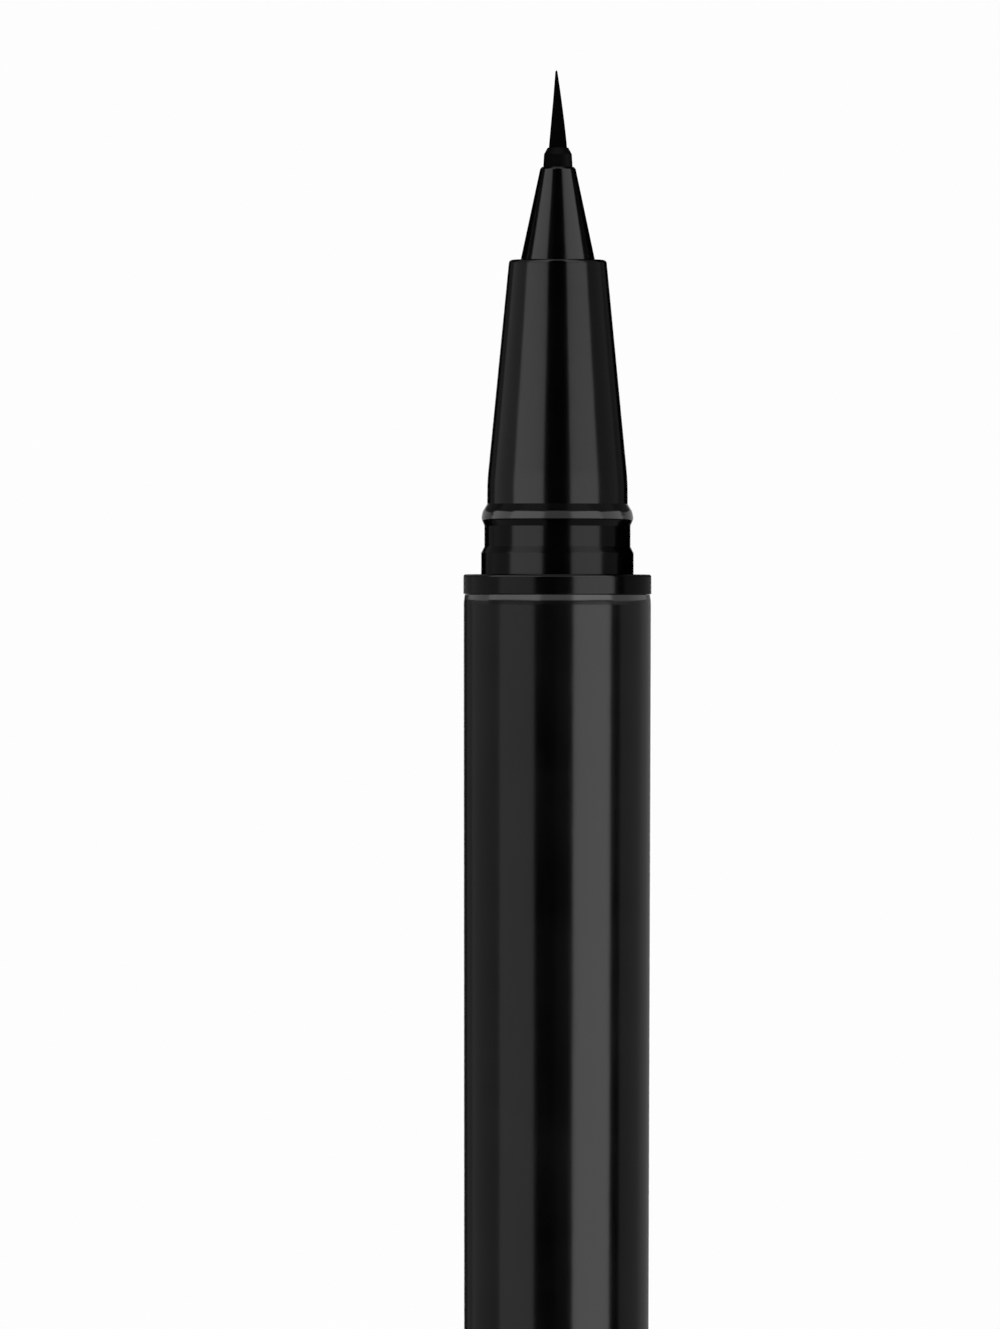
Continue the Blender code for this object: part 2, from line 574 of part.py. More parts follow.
def build():
    for old in list(bpy.data.objects):
        bpy.data.objects.remove(old, do_unlink=True)

    pieces = [
        barrel(material("gloss_black_shell", SHELL_LOOK)),
        tail_plug(material("gloss_black_tail", SHELL_LOOK)),
        front_section(material("gloss_black_grip", GRIP_LOOK)),
        nozzle_cone(material("gloss_black_nozzle", NOZZLE_LOOK)),
        tuft_holder(material("satin_black_holder", HOLDER_LOOK)),
        bristle_tuft(material("black_bristle", BRISTLE_LOOK)),
        feed_core(material("inked_fibre", FIBRE_LOOK)),
        collector(material("natural_collector", COLLECTOR_LOOK)),
        ink_tank(material("natural_tank", TANK_LOOK)),
        tank_plug(material("grey_plug", PLUG_LOOK)),
        mixing_ball(material("ball_steel", STEEL_LOOK)),
    ]
    pen = bpy.data.objects.new("pen", None)
    bpy.context.scene.collection.objects.link(pen)
    for piece in pieces:
        piece.parent = pen
    print(
        f"pen {TUFT_TIP / MM:.2f} mm, cap seat at {CAP_SEAT / MM:.2f} mm,",
        f"ball at {BALL_HEIGHT / MM:.2f} mm with {BALL_TRAVEL / MM:.2f} mm of travel",
    )


build()
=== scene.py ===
"""Uncapped liquid eyeliner pen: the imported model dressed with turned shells, a brush and real finishes."""

import json
import math

import bmesh
import bpy
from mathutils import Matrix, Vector


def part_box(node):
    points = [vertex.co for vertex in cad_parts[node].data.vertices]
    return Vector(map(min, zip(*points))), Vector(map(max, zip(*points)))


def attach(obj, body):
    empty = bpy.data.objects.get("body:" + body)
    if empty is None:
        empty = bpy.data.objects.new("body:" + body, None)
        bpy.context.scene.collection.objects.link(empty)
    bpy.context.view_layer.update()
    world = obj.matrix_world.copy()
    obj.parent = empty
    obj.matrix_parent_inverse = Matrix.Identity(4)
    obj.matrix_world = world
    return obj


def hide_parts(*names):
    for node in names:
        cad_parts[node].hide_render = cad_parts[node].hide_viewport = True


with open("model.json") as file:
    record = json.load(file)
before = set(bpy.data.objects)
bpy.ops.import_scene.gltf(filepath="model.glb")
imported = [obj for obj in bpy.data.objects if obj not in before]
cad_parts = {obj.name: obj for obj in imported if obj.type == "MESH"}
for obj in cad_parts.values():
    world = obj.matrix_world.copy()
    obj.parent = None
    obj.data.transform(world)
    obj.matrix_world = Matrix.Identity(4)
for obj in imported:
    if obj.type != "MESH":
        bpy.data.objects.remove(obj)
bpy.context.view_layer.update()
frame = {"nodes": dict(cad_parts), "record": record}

MM = 0.001


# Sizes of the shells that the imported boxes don't give, from the same drawing as the CAD
SLIP_FIT = 0.06 * MM
TIP_FIT = 0.04 * MM
SEAT_GAP = 0.06 * MM
GROOVE_GAP = 0.01 * MM

BARREL_WALL = 0.90 * MM
BARREL_FOOT_ROUND = 0.12 * MM
BARREL_RIM_HEIGHT = 0.36 * MM
BARREL_RIM_DEPTH = 0.058 * MM
BARREL_ROLL_HEIGHT = 0.26 * MM
BARREL_ROLL_DEPTH = 0.010 * MM
BARREL_RIM_BLEND = 1.50 * MM
BARREL_RIM_ROUND = 0.05 * MM
BORE_EDGE_ROUND = 0.05 * MM

TAIL_FOOT_ROUND = 0.60 * MM
TAIL_EDGE_ROUND = 0.12 * MM
TAIL_RECESS_RADIUS = 2.20 * MM
TAIL_RECESS_DEPTH = 0.50 * MM
TAIL_RECESS_ROUND = 0.10 * MM

SPIGOT_WALL = 0.61 * MM
FLANGE_FOOT_ROUND = 0.04 * MM
FLANGE_TOP_ROUND = 0.15 * MM
CAP_SEAT_WIDTH = 1.04 * MM
COLLAR_HEIGHT = 1.27 * MM
COLLAR_SLOPE_HEIGHT = 0.37 * MM
COLLAR_TOP_ROUND = 0.15 * MM
NECK_STEP = 0.19 * MM
NECK_HEIGHT = 1.20 * MM
NECK_ROUND = 0.06 * MM
BEAD_PROUD = 0.16 * MM
BEAD_FOOT_RISE = 0.37 * MM
BEAD_LAND = 0.18 * MM
BEAD_CROWN_RISE = 0.32 * MM
BEAD_CROWN_FALL = 0.065 * MM
BEAD_TOP_RISE = 0.43 * MM
BEAD_ROUND = 0.60 * MM
GRIP_STEP = 0.16 * MM
GRIP_LAND = 1.35 * MM
GRIP_LAND_TAPER = 0.01 * MM
GRIP_BLEND = 20.0 * MM
MOUTH_RIM = 0.62 * MM
MOUTH_EDGE_ROUND = 0.21 * MM
MOUTH_DEPTH = 3.00 * MM
SHOULDER_RISE = 0.45 * MM
SHOULDER_WIDTH = 0.60 * MM
GRIP_BORE_TAPER = 11.0 * MM

NOZZLE_FLANGE_HEIGHT = 1.14 * MM
NOZZLE_FLANGE_WIDTH = 0.30 * MM
NOZZLE_LIP_WALL = 0.12 * MM
NOZZLE_LIP_EDGE = 0.04 * MM
NOZZLE_LIP_SLOPE = 0.12 * MM
NOZZLE_LIP_ROUND = 0.08 * MM
NOZZLE_SHOULDER_RISE = 0.56 * MM

TUFT_FIT = 0.04 * MM
HOLDER_WALL = 0.28 * MM
HOLDER_TAPER = 0.045 * MM
HOLDER_CROWN_HEIGHT = 0.38 * MM
HOLDER_CROWN_EDGE = 0.03 * MM
HOLDER_CROWN_ROUND = 0.15 * MM
HOLDER_EDGE_ROUND = 0.04 * MM
TUFT_SETBACK = 0.30 * MM

# How finely the shells are turned. A fillet takes no more than SIDE_SHARE of either side of its corner
FILLET_STEPS = 8
SIDE_SHARE = 0.45
GUARD_SHARE = 0.1
SHELL_FACETS = 192
SEAM_WELD = 0.0001 * MM
SHARP_EDGE = math.radians(35)

# Brush: its filaments, and how they draw in, end and waver
FILAMENT_COUNT = 420
FILAMENT_STEPS = 8
FILAMENT_SIDES = 5
FILAMENT_TAPER = 0.7
FILAMENT_TAPER_POWER = 4.0
HEEL_SIDES = 48
BRUSH_FULLNESS = 1.10
BRUSH_POINT_SHARE = 0.09
BRUSH_STAGGER_SHARE = 0.03
BRUSH_LEAN = -0.10 * MM
BRUSH_WAVER = 0.05 * MM
BRUSH_WAVER_PITCH = 1.5 * MM
BRUSH_SEED = 4
GOLDEN_ANGLE = math.pi * (3 - math.sqrt(5))


# Places of the six pieces that show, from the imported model's boxes
barrel_low, barrel_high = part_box("barrel")
tail_low, tail_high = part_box("tail_plug")
front_low, front_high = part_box("front_section")
nozzle_low, nozzle_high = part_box("nozzle_cone")
holder_low, holder_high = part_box("tuft_holder")
tuft_low, tuft_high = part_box("bristle_tuft")


def feed(tree, node, inputs):
    """Sets a node's inputs, by name or in order. A node given as a value is linked from its first output."""
    for key, value in inputs.items() if isinstance(inputs, dict) else enumerate(inputs):
        if isinstance(value, bpy.types.Node):
            value = value.outputs[0]
        if isinstance(value, bpy.types.NodeSocket):
            tree.links.new(value, node.inputs[key])
        else:
            node.inputs[key].default_value = value


def add(tree, kind, inputs=(), **settings):
    """A new node with its settings and its links."""
    made = tree.nodes.new(kind)
    for name, value in settings.items():
        setattr(made, name, value)
    feed(tree, made, inputs)
    return made


def section(corners):
    """Points (radius, height) round a closed section whose corners are (radius, height, fillet).

    Each fillet is an arc with a guard point just outside either end, where its smooth shading stops.
    """
    points = []
    for index, (radius, height, fillet) in enumerate(corners):
        corner = Vector((radius, height))
        if not fillet:
            points.append(corner)
            continue
        back = Vector(corners[index - 1][:2]) - corner
        ahead = Vector(corners[(index + 1) % len(corners)][:2]) - corner
        half = back.angle(ahead) / 2
        reach = min(fillet / math.tan(half), back.length * SIDE_SHARE, ahead.length * SIDE_SHARE)
        fillet = reach * math.tan(half)
        centre = corner + (back.normalized() + ahead.normalized()).normalized() * fillet / math.sin(half)
        start = corner + back.normalized() * reach - centre
        end = corner + ahead.normalized() * reach - centre
        guard = reach * GUARD_SHARE
        points.append(corner + back.normalized() * (reach + guard))
        turns = [step / FILLET_STEPS for step in range(FILLET_STEPS + 1)]
        points += [centre + start.slerp(end, turn) * fillet for turn in turns]
        points.append(corner + ahead.normalized() * (reach + guard))
    return points


def turning_tree():
    """Turns a section line round the pen's axis into one closed skin."""
    tree = bpy.data.node_groups.new("turned_shell", "GeometryNodeTree")
    for name, kind in {
        "Section": "NodeSocketGeometry",
        "Facets": "NodeSocketInt",
        "Weld": "NodeSocketFloat",
        "Finish": "NodeSocketMaterial",
    }.items():
        tree.interface.new_socket(name, in_out="INPUT", socket_type=kind)
    tree.interface.new_socket("Shell", in_out="OUTPUT", socket_type="NodeSocketGeometry")
    given = add(tree, "NodeGroupInput").outputs

    size = add(tree, "GeometryNodeAttributeDomainSize", [given["Section"]], component="MESH")
    rows = size.outputs["Point Count"]
    columns = add(tree, "ShaderNodeMath", [given["Facets"], 1], operation="ADD")
    grid = add(tree, "GeometryNodeMeshGrid", {"Vertices X": rows, "Vertices Y": columns})
    index = add(tree, "GeometryNodeInputIndex")
    row = add(tree, "ShaderNodeMath", [index, columns], operation="DIVIDE")
    row = add(tree, "ShaderNodeMath", [row], operation="FLOOR")
    column = add(tree, "ShaderNodeMath", [index, columns], operation="MODULO")
    turn = add(tree, "ShaderNodeMath", [column, given["Facets"]], operation="DIVIDE")
    turn = add(tree, "ShaderNodeMath", [turn, -math.tau], operation="MULTIPLY")
    drawn = add(
        tree,
        "GeometryNodeSampleIndex",
        {"Geometry": given["Section"], "Value": add(tree, "GeometryNodeInputPosition"), "Index": row},
        data_type="FLOAT_VECTOR",
        domain="POINT",
    )
    spun = add(tree, "ShaderNodeVectorRotate", {"Vector": drawn, "Angle": turn}, rotation_type="Z_AXIS")
    skin = add(tree, "GeometryNodeSetPosition", {"Geometry": grid, "Position": spun})
    welded = add(tree, "GeometryNodeMergeByDistance", {"Geometry": skin, "Distance": given["Weld"]})
    smooth = add(tree, "GeometryNodeSetShadeSmooth", {"Geometry": welded})
    real = add(tree, "GeometryNodeRealizeInstances", {"Geometry": smooth})
    painted = add(tree, "GeometryNodeSetMaterial", {"Geometry": real, "Material": given["Finish"]})
    add(tree, "NodeGroupOutput", {"Shell": painted})
    return tree


def brush_tree():
    """A heel and several hundred tapered filaments, spread like sunflower seeds, drawn in to a point."""
    tree = bpy.data.node_groups.new("tapered_brush", "GeometryNodeTree")
    for name, kind in {
        "Filaments": "NodeSocketInt",
        "Steps": "NodeSocketInt",
        "Filament Sides": "NodeSocketInt",
        "Heel Sides": "NodeSocketInt",
        "Tuft Radius": "NodeSocketFloat",
        "Heel Foot": "NodeSocketFloat",
        "Heel Top": "NodeSocketFloat",
        "Tip Height": "NodeSocketFloat",
        "Fullness": "NodeSocketFloat",
        "Point Share": "NodeSocketFloat",
        "Stagger Share": "NodeSocketFloat",
        "Filament Taper": "NodeSocketFloat",
        "Taper Power": "NodeSocketFloat",
        "Lean": "NodeSocketFloat",
        "Waver": "NodeSocketFloat",
        "Waver Pitch": "NodeSocketFloat",
        "Seed": "NodeSocketInt",
        "Finish": "NodeSocketMaterial",
    }.items():
        tree.interface.new_socket(name, in_out="INPUT", socket_type=kind)
    tree.interface.new_socket("Brush", in_out="OUTPUT", socket_type="NodeSocketGeometry")
    given = add(tree, "NodeGroupInput").outputs

    # One upright line of steps for each filament
    roots = add(tree, "GeometryNodeMeshLine", {"Count": given["Filaments"]}, mode="OFFSET")
    one = add(tree, "GeometryNodeCurvePrimitiveLine", {"End": (0, 0, 1)})
    points_each = add(tree, "ShaderNodeMath", [given["Steps"], 1], operation="ADD")
    stepped = add(tree, "GeometryNodeResampleCurve", {"Curve": one, "Count": points_each})
    placed = add(tree, "GeometryNodeInstanceOnPoints", {"Points": roots, "Instance": stepped})
    lines = add(tree, "GeometryNodeRealizeInstances", {"Geometry": placed})

    # Each point's filament, and how far up the filament it is
    index = add(tree, "GeometryNodeInputIndex")
    number = add(tree, "ShaderNodeMath", [index, points_each], operation="DIVIDE")
    number = add(tree, "ShaderNodeMath", [number], operation="FLOOR")
    along = add(tree, "ShaderNodeMath", [index, points_each], operation="MODULO")
    along = add(tree, "ShaderNodeMath", [along, given["Steps"]], operation="DIVIDE")

    # The root's share of the way out from the middle. Filaments further out tend to be shorter
    out = add(tree, "ShaderNodeMath", [number, 0.5], operation="ADD")
    out = add(tree, "ShaderNodeMath", [out, given["Filaments"]], operation="DIVIDE")
    out = add(tree, "ShaderNodeMath", [out], operation="SQRT")
    chance = add(tree, "FunctionNodeRandomValue", {"ID": number, "Seed": given["Seed"]}, data_type="FLOAT")
    short = add(tree, "ShaderNodeMath", [chance.outputs[1], out], operation="ADD")
    short = add(tree, "ShaderNodeMath", [short, 0.5], operation="MULTIPLY")
    short = add(tree, "ShaderNodeMath", [short, given["Stagger Share"]], operation="MULTIPLY")
    length = add(tree, "ShaderNodeMath", [1, short], operation="SUBTRACT")
    rise = add(tree, "ShaderNodeMath", [along, length], operation="MULTIPLY")

    # The brush's width at that height, as a share of the tuft's
    drawn_in = add(tree, "ShaderNodeMath", [rise, given["Fullness"]], operation="POWER")
    drawn_in = add(tree, "ShaderNodeMath", [1, drawn_in], operation="SUBTRACT")
    body = add(tree, "ShaderNodeMath", [1, given["Point Share"]], operation="SUBTRACT")
    body = add(tree, "ShaderNodeMath", [body, drawn_in], operation="MULTIPLY")
    width = add(tree, "ShaderNodeMath", [given["Point Share"], body], operation="ADD")

    # The filament's path: in towards the point, with a slight lean and waver
    turn = add(tree, "ShaderNodeMath", [number, GOLDEN_ANGLE], operation="MULTIPLY")
    radius = add(tree, "ShaderNodeMath", [out, given["Tuft Radius"]], operation="MULTIPLY")
    radius = add(tree, "ShaderNodeMath", [radius, width], operation="MULTIPLY")
    lean = add(tree, "ShaderNodeMath", [rise, 2], operation="POWER")
    lean = add(tree, "ShaderNodeMath", [given["Lean"], lean], operation="MULTIPLY")
    x = add(tree, "ShaderNodeMath", [turn], operation="COSINE")
    x = add(tree, "ShaderNodeMath", [radius, x], operation="MULTIPLY")
    x = add(tree, "ShaderNodeMath", [x, lean], operation="ADD")
    y = add(tree, "ShaderNodeMath", [turn], operation="SINE")
    y = add(tree, "ShaderNodeMath", [radius, y], operation="MULTIPLY")
    z = add(tree, "ShaderNodeMath", [given["Tip Height"], given["Heel Top"]], operation="SUBTRACT")
    z = add(tree, "ShaderNodeMath", [rise, z], operation="MULTIPLY")
    z = add(tree, "ShaderNodeMath", [given["Heel Top"], z], operation="ADD")
    path = add(tree, "ShaderNodeCombineXYZ", [x, y, z])
    pitch = add(tree, "ShaderNodeMath", [1, given["Waver Pitch"]], operation="DIVIDE")
    noise = {"Vector": path, "W": number, "Scale": pitch, "Detail": 1}
    noise = add(tree, "ShaderNodeTexNoise", noise, noise_dimensions="4D").outputs["Color"]
    sway = add(tree, "ShaderNodeVectorMath", [noise, (0.5, 0.5, 0.5)], operation="SUBTRACT")
    reach = add(tree, "ShaderNodeMath", [given["Waver"], along], operation="MULTIPLY")
    reach = add(tree, "ShaderNodeMath", [reach, width], operation="MULTIPLY")
    sway = add(tree, "ShaderNodeVectorMath", {0: sway, "Scale": reach}, operation="SCALE")
    path = add(tree, "ShaderNodeVectorMath", [path, sway], operation="ADD")
    bent = add(tree, "GeometryNodeSetPosition", {"Geometry": lines, "Position": path})

    # The filament's skin, which thins with the brush and is ground to a point at its end
    thick = add(tree, "ShaderNodeMath", [given["Filaments"]], operation="SQRT")
    thick = add(tree, "ShaderNodeMath", [given["Tuft Radius"], thick], operation="DIVIDE")
    thick = add(tree, "ShaderNodeMath", [thick, width], operation="MULTIPLY")
    ground = add(tree, "ShaderNodeMath", [along, given["Taper Power"]], operation="POWER")
    ground = add(tree, "ShaderNodeMath", [given["Filament Taper"], ground], operation="MULTIPLY")
    ground = add(tree, "ShaderNodeMath", [1, ground], operation="SUBTRACT")
    thick = add(tree, "ShaderNodeMath", [thick, ground], operation="MULTIPLY")
    ring = {"Resolution": given["Filament Sides"], "Radius": 1}
    ring = add(tree, "GeometryNodeCurvePrimitiveCircle", ring)
    skin = {"Curve": bent, "Profile Curve": ring, "Scale": thick, "Fill Caps": True}
    skins = add(tree, "GeometryNodeCurveToMesh", skin)

    # The bonded heel
    depth = add(tree, "ShaderNodeMath", [given["Heel Top"], given["Heel Foot"]], operation="SUBTRACT")
    heel = {"Vertices": given["Heel Sides"], "Radius": given["Tuft Radius"], "Depth": depth}
    heel = add(tree, "GeometryNodeMeshCylinder", heel)
    middle = add(tree, "ShaderNodeMath", [given["Heel Top"], given["Heel Foot"]], operation="ADD")
    middle = add(tree, "ShaderNodeMath", [middle, 0.5], operation="MULTIPLY")
    raised = add(tree, "ShaderNodeCombineXYZ", {2: middle})
    heel = add(tree, "GeometryNodeTransform", {"Geometry": heel, "Translation": raised})

    whole = add(tree, "GeometryNodeJoinGeometry", [skins])
    feed(tree, whole, [heel])
    smooth = add(tree, "GeometryNodeSetShadeSmooth", {"Geometry": whole})
    real = add(tree, "GeometryNodeRealizeInstances", {"Geometry": smooth})
    painted = add(tree, "GeometryNodeSetMaterial", {"Geometry": real, "Material": given["Finish"]})
    add(tree, "NodeGroupOutput", {"Brush": painted})
    return tree


def grown(name, tree, sizes, finish, drawn=None):
    """A plain mesh piece from a geometry tree, run once with its named sizes."""
    piece = bpy.data.objects.new(name, drawn or bpy.data.meshes.new(name))
    bpy.context.scene.collection.objects.link(piece)
    growth = piece.modifiers.new("growth", "NODES")
    growth.node_group = tree
    sizes = {**sizes, "Finish": finish}
    for socket in tree.interface.items_tree:
        if socket.in_out == "INPUT" and socket.name in sizes:
            growth[socket.identifier] = sizes[socket.name]
    bpy.context.view_layer.update()
    graph = bpy.context.evaluated_depsgraph_get()
    mesh = bpy.data.meshes.new_from_object(piece.evaluated_get(graph), depsgraph=graph)
    piece.modifiers.remove(growth)
    piece.data = mesh
    mesh.name = name
    mesh.materials.clear()
    mesh.materials.append(finish)
    mesh.polygons.foreach_set("material_index", [0] * len(mesh.polygons))
    mesh.set_sharp_from_angle(angle=SHARP_EDGE)
    return piece


def dressed(piece, node):
    """Makes a piece ride on the pen in its CAD node's place."""
    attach(piece, "pen")
    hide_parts(node)
    return piece


def turned(name, node, points, tree, finish):
    """One turned piece that stands for its CAD node and rides on the pen."""
    line = bpy.data.meshes.new(name + "_section")
    closed = points if points[0].x == 0 and points[-1].x == 0 else [*points, points[0]]
    line.from_pydata([(point.x, 0, point.y) for point in closed], [], [])
    piece = grown(name, tree, {"Facets": SHELL_FACETS, "Weld": SEAM_WELD}, finish, line)
    return dressed(piece, node)


# Finishes. Each pattern's size is the real one in millimetres, unless its function says otherwise

POLISHED_ROUGHNESS = 0.15
MOULDED_ROUGHNESS = 0.16
PEEL_SIZE = 0.9 * MM
RUB_SIZE = 0.12 * MM
RUB_DRAW = 0.04
RUB_RANGE = (0.15, 0.45)
SHRINK_SIZE = 6 * MM
SHRINK_WAVE = 0.02 * MM
SHRINK_RANGE = (0.35, 0.65)

ACETAL_IOR = 1.48
ACETAL_ROUGHNESS = 0.5
ACETAL_GLOSS_RANGE = (0.42, 0.58)
ACETAL_CLOUD_SIZE = 0.5 * MM
ERODED_GRAIN_SIZE = 0.05 * MM
ERODED_GRAIN_DEPTH = 0.004 * MM
ERODED_GRAIN_STRENGTH = 0.5

POLYESTER_IOR = 1.5
FILAMENT_ROUGHNESS = 0.45
FILAMENT_GLOSS_RANGE = (0.32, 0.60)
FILAMENT_SHEEN = 0.2
STREAK_SIZE = 0.03 * MM
STREAK_DRAW = 0.06
FIBRE_ROUGHNESS = 0.9
FIBRE_SIZE = 0.03 * MM
FIBRE_DRAW = 0.03
FIBRE_DEPTH = 0.01 * MM
FIBRE_STRENGTH = 0.6

RESIN_IOR = 1.5
RESIN_GLOSS_SPREAD = 0.08
RESIN_CLOUD_RANGE = (0.3, 0.7)
RESIN_PEEL_SIZE = 0.6 * MM
RESIN_PEEL_DEPTH = 0.004 * MM
RESIN_PEEL_STRENGTH = 0.5

STEEL_ROUGHNESS = 0.18
STEEL_GLOSS_RANGE = (0.10, 0.26)
SCRATCH_SIZE = 0.05 * MM


def colour(code):
    """An sRGB hex colour as linear red, green, blue and alpha."""
    parts = [int(code[start : start + 2], 16) / 255 for start in (1, 3, 5)]
    return (*[part / 12.92 if part <= 0.04045 else ((part + 0.055) / 1.055) ** 2.4 for part in parts], 1)


def finish_of(name, base, roughness, **sockets):
    """A material, its tree and its shader, with its flat numbers. A pattern may take the place of some."""
    made = bpy.data.materials.new(name)
    made.use_nodes = True
    made.diffuse_color = colour(base)
    shader = made.node_tree.nodes["Principled BSDF"]
    numbers = {"Base Color": colour(base), "Roughness": roughness}
    numbers.update({socket.replace("_", " "): value for socket, value in sockets.items()})
    feed(made.node_tree, shader, numbers)
    return made, made.node_tree, shader


def object_place(tree, draw=1):
    """The place on the pen in metres. A draw under 1 draws a pattern out along the pen."""
    seen = add(tree, "ShaderNodeTexCoord").outputs["Object"]
    return add(tree, "ShaderNodeMapping", {"Vector": seen, "Scale": (1, 1, draw)})


def shade(ramp, *stops):
    """Sets a ramp's stops, each a (place, hex colour)."""
    for stop, (place, code) in zip(ramp.color_ramp.elements, stops):
        stop.position = place
        stop.color = colour(code)


def moulded_black(name, base, ior, peel_depth, rub_marks):
    """Black ABS from a polished mould, bare or lacquered: deep gloss, faint orange peel and rub marks.

    The peel is 0.9 mm across and lies on shallow waves of about 6 mm, where the resin shrank in the mould.
    Rub marks are drawn out along the pen, as a cap leaves them. They are 0.02 mm wide on a real pen and are
    drawn at 0.12 mm so that they show.
    """
    made, tree, shader = finish_of(name, base, MOULDED_ROUGHNESS, IOR=ior)
    place = object_place(tree)
    drawn_out = object_place(tree, RUB_DRAW)
    peel = add(tree, "ShaderNodeTexNoise", {"Vector": place, "Scale": 1 / PEEL_SIZE, "Detail": 2})
    rub = add(tree, "ShaderNodeTexNoise", {"Vector": drawn_out, "Scale": 1 / RUB_SIZE, "Detail": 3})
    cloud = add(tree, "ShaderNodeTexNoise", {"Vector": place, "Scale": 1 / SHRINK_SIZE, "Detail": 3})
    worn = add(tree, "ShaderNodeMath", [rub, cloud], operation="MULTIPLY")
    rubbed = POLISHED_ROUGHNESS + rub_marks
    gloss = add(tree, "ShaderNodeMapRange", [worn, *RUB_RANGE, POLISHED_ROUGHNESS, rubbed])
    tone = add(tree, "ShaderNodeValToRGB", [cloud])
    shade(tone, (SHRINK_RANGE[0], "#010101"), (SHRINK_RANGE[1], base))
    waves = add(tree, "ShaderNodeBump", {"Height": cloud, "Strength": 1, "Distance": SHRINK_WAVE})
    peeled = {"Height": peel, "Strength": 1, "Distance": peel_depth, "Normal": waves}
    peeled = add(tree, "ShaderNodeBump", peeled)
    feed(tree, shader, {"Base Color": tone, "Roughness": gloss, "Normal": peeled})
    return made


def eroded_acetal():
    """Black acetal from a spark-eroded mould: satin, with a grain of about 0.05 mm."""
    made, tree, shader = finish_of("acetal_satin_black", "#080808", ACETAL_ROUGHNESS, IOR=ACETAL_IOR)
    place = object_place(tree)
    grain = add(tree, "ShaderNodeTexVoronoi", {"Vector": place, "Scale": 1 / ERODED_GRAIN_SIZE})
    cloud = add(tree, "ShaderNodeTexNoise", {"Vector": place, "Scale": 1 / ACETAL_CLOUD_SIZE, "Detail": 3})
    gloss = add(tree, "ShaderNodeMapRange", [cloud, 0, 1, *ACETAL_GLOSS_RANGE])
    tone = add(tree, "ShaderNodeValToRGB", [grain])
    shade(tone, (0, "#040404"), (1, "#0B0B0B"))
    pits = {"Height": grain, "Strength": ERODED_GRAIN_STRENGTH, "Distance": ERODED_GRAIN_DEPTH}
    pits = add(tree, "ShaderNodeBump", pits)
    feed(tree, shader, {"Base Color": tone, "Roughness": gloss, "Normal": pits})
    return made


def inked_filament():
    """Black polyester filament, drawn and ground to a point, wet with ink: streaks of 0.03 mm along it."""
    made, tree, shader = finish_of(
        "polyester_filament_inked",
        "#050505",
        FILAMENT_ROUGHNESS,
        IOR=POLYESTER_IOR,
        Specular_IOR_Level=FILAMENT_SHEEN,
    )
    place = object_place(tree, STREAK_DRAW)
    streak = add(tree, "ShaderNodeTexNoise", {"Vector": place, "Scale": 1 / STREAK_SIZE, "Detail": 2})
    gloss = add(tree, "ShaderNodeMapRange", [streak, 0, 1, *FILAMENT_GLOSS_RANGE])
    tone = add(tree, "ShaderNodeValToRGB", [streak])
    shade(tone, (0, "#020202"), (1, "#0C0B0B"))
    feed(tree, shader, {"Base Color": tone, "Roughness": gloss})
    return made


def bonded_fibre():
    """Polyester fibre bonded into a rod and soaked with ink: lengthwise fibres of 0.03 mm, dark and dull."""
    made, tree, shader = finish_of("polyester_fibre_bonded", "#2A2725", FIBRE_ROUGHNESS)
    place = object_place(tree, FIBRE_DRAW)
    fibres = add(tree, "ShaderNodeTexNoise", {"Vector": place, "Scale": 1 / FIBRE_SIZE, "Detail": 3})
    tone = add(tree, "ShaderNodeValToRGB", [fibres])
    shade(tone, (0, "#151312"), (1, "#3E3A36"))
    ridges = {"Height": fibres, "Strength": FIBRE_STRENGTH, "Distance": FIBRE_DEPTH}
    ridges = add(tree, "ShaderNodeBump", ridges)
    feed(tree, shader, {"Base Color": tone, "Normal": ridges})
    return made


def natural_resin(name, base, dim, roughness, flow):
    """Uncoloured moulded resin: milky, with faint flow clouds a few millimetres wide and a soft sheen."""
    made, tree, shader = finish_of(name, base, roughness, IOR=RESIN_IOR)
    place = object_place(tree)
    cloud = add(tree, "ShaderNodeTexNoise", {"Vector": place, "Scale": 1 / flow, "Detail": 4})
    peel = add(tree, "ShaderNodeTexNoise", {"Vector": place, "Scale": 1 / RESIN_PEEL_SIZE, "Detail": 2})
    tone = add(tree, "ShaderNodeValToRGB", [cloud])
    shade(tone, (RESIN_CLOUD_RANGE[0], dim), (RESIN_CLOUD_RANGE[1], base))
    gloss_range = (roughness - RESIN_GLOSS_SPREAD, roughness + RESIN_GLOSS_SPREAD)
    gloss = add(tree, "ShaderNodeMapRange", [cloud, 0, 1, *gloss_range])
    peeled = {"Height": peel, "Strength": RESIN_PEEL_STRENGTH, "Distance": RESIN_PEEL_DEPTH}
    peeled = add(tree, "ShaderNodeBump", peeled)
    feed(tree, shader, {"Base Color": tone, "Roughness": gloss, "Normal": peeled})
    return made


def bearing_steel():
    """Stainless bearing steel, ground and tumbled: bright, with fine random scratches.

    They are 0.02 mm wide on a real ball and are drawn at 0.05 mm, to show in a close view.
    """
    made, tree, shader = finish_of("bearing_steel_tumbled", "#B9BBBD", STEEL_ROUGHNESS, Metallic=1)
    place = object_place(tree)
    scratch = add(tree, "ShaderNodeTexNoise", {"Vector": place, "Scale": 1 / SCRATCH_SIZE, "Detail": 4})
    gloss = add(tree, "ShaderNodeMapRange", [scratch, 0, 1, *STEEL_GLOSS_RANGE])
    tone = add(tree, "ShaderNodeValToRGB", [scratch])
    shade(tone, (0, "#A9ABAE"), (1, "#C8CACC"))
    feed(tree, shader, {"Base Color": tone, "Roughness": gloss})
    return made


# The shells that show

